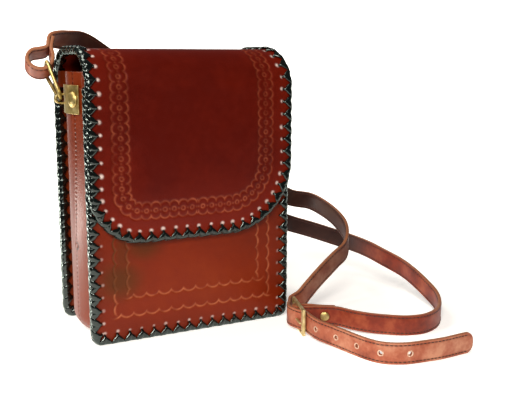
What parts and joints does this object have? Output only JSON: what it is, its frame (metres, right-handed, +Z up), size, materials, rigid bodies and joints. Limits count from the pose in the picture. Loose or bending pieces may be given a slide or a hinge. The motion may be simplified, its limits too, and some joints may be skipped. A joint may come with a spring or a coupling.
{
  "type": "sling bag",
  "caption": "Small leather sling bag with a wide flap, bowed gusset, laced edges, brass ring clips and a buckled strap lying loose beside it.",
  "frame": {"origin": "on the floor, at the middle of the gusset's flat bottom", "axes": "+X right along the front, -Y towards the front, +Z up"},
  "size_m": [0.3178, 0.2623, 0.2348],
  "materials": {
    "bag_leather": "red-brown tooled hide, waxed, soft shine",
    "gusset_leather": "orange-brown tooled hide, soft shine",
    "strap_leather": "coral-brown stitched hide, soft shine",
    "lacing": "black glossy thong",
    "brass": "pale brass, lightly worn"
  },
  "bodies": {
    "root": {"front_panel": "bag_leather", "back_flap": "bag_leather", "gusset": "gusset_leather", "front_lacing": "lacing", "back_lacing": "lacing", "flap_lacing": "lacing", "ring_clip_left": "brass", "ring_clip_right": "brass", "clip_rivet_left": "brass", "clip_rivet_right": "brass", "ring_left": "brass", "ring_right": "brass", "strap_long": "strap_leather", "strap_buckle": "strap_leather", "strap_rivet": "brass", "buckle_frame": "brass", "buckle_tongue": "brass"}
  },
  "joints": []
}
